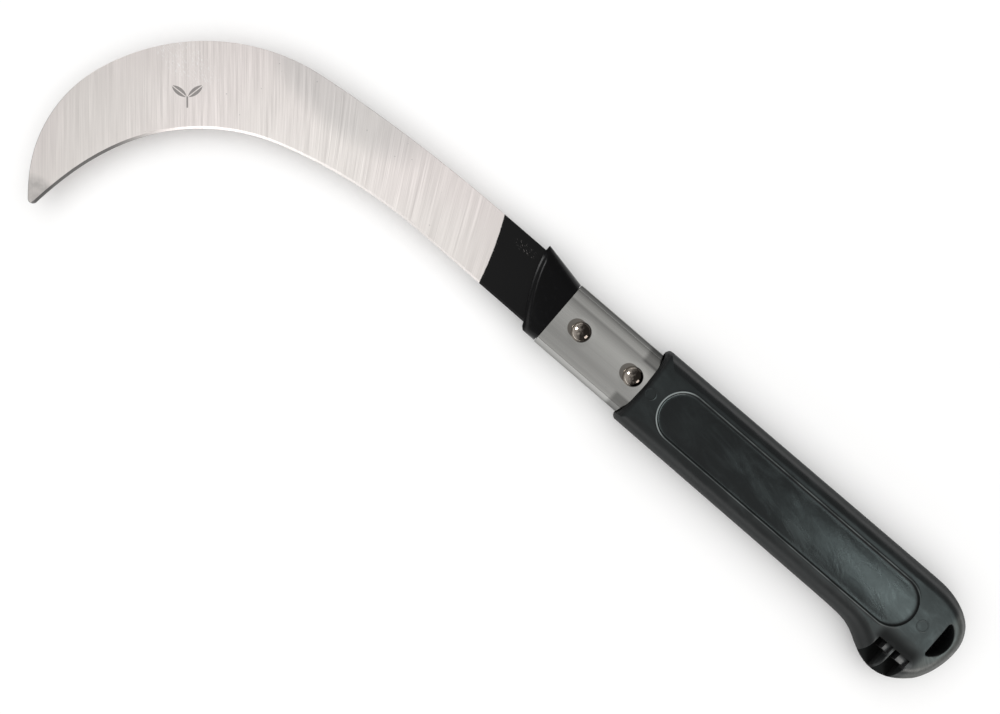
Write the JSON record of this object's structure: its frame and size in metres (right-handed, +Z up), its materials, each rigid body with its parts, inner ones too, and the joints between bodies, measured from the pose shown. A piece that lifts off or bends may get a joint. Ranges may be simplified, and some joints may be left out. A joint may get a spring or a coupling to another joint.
{
  "type": "hand sickle",
  "caption": "Hand sickle: hooked steel blade riveted into an oval steel tube with a black plastic nose, and a moulded plastic grip with a finger heel and a hanging hole.",
  "frame": {"origin": "middle of the bounding box's base, on the surface that the grip's underside rests on", "axes": "+X along the handle from blade to butt, +Y toward the blade's spine side, +Z up out of the blade's flat"},
  "size_m": [0.434, 0.129, 0.024],
  "materials": {
    "blade_steel": "brushed, black paint at the handle end",
    "collar_plastic": "gloss",
    "tube_steel": "polished",
    "rivet_plated": "bright plated",
    "grip_plastic": "satin"
  },
  "bodies": {
    "root": {"blade": "blade_steel", "nose_collar": "collar_plastic", "handle_tube": "tube_steel", "front_rivet": "rivet_plated", "rear_rivet": "rivet_plated", "grip": "grip_plastic", "grip_end": "grip_plastic"}
  },
  "joints": []
}
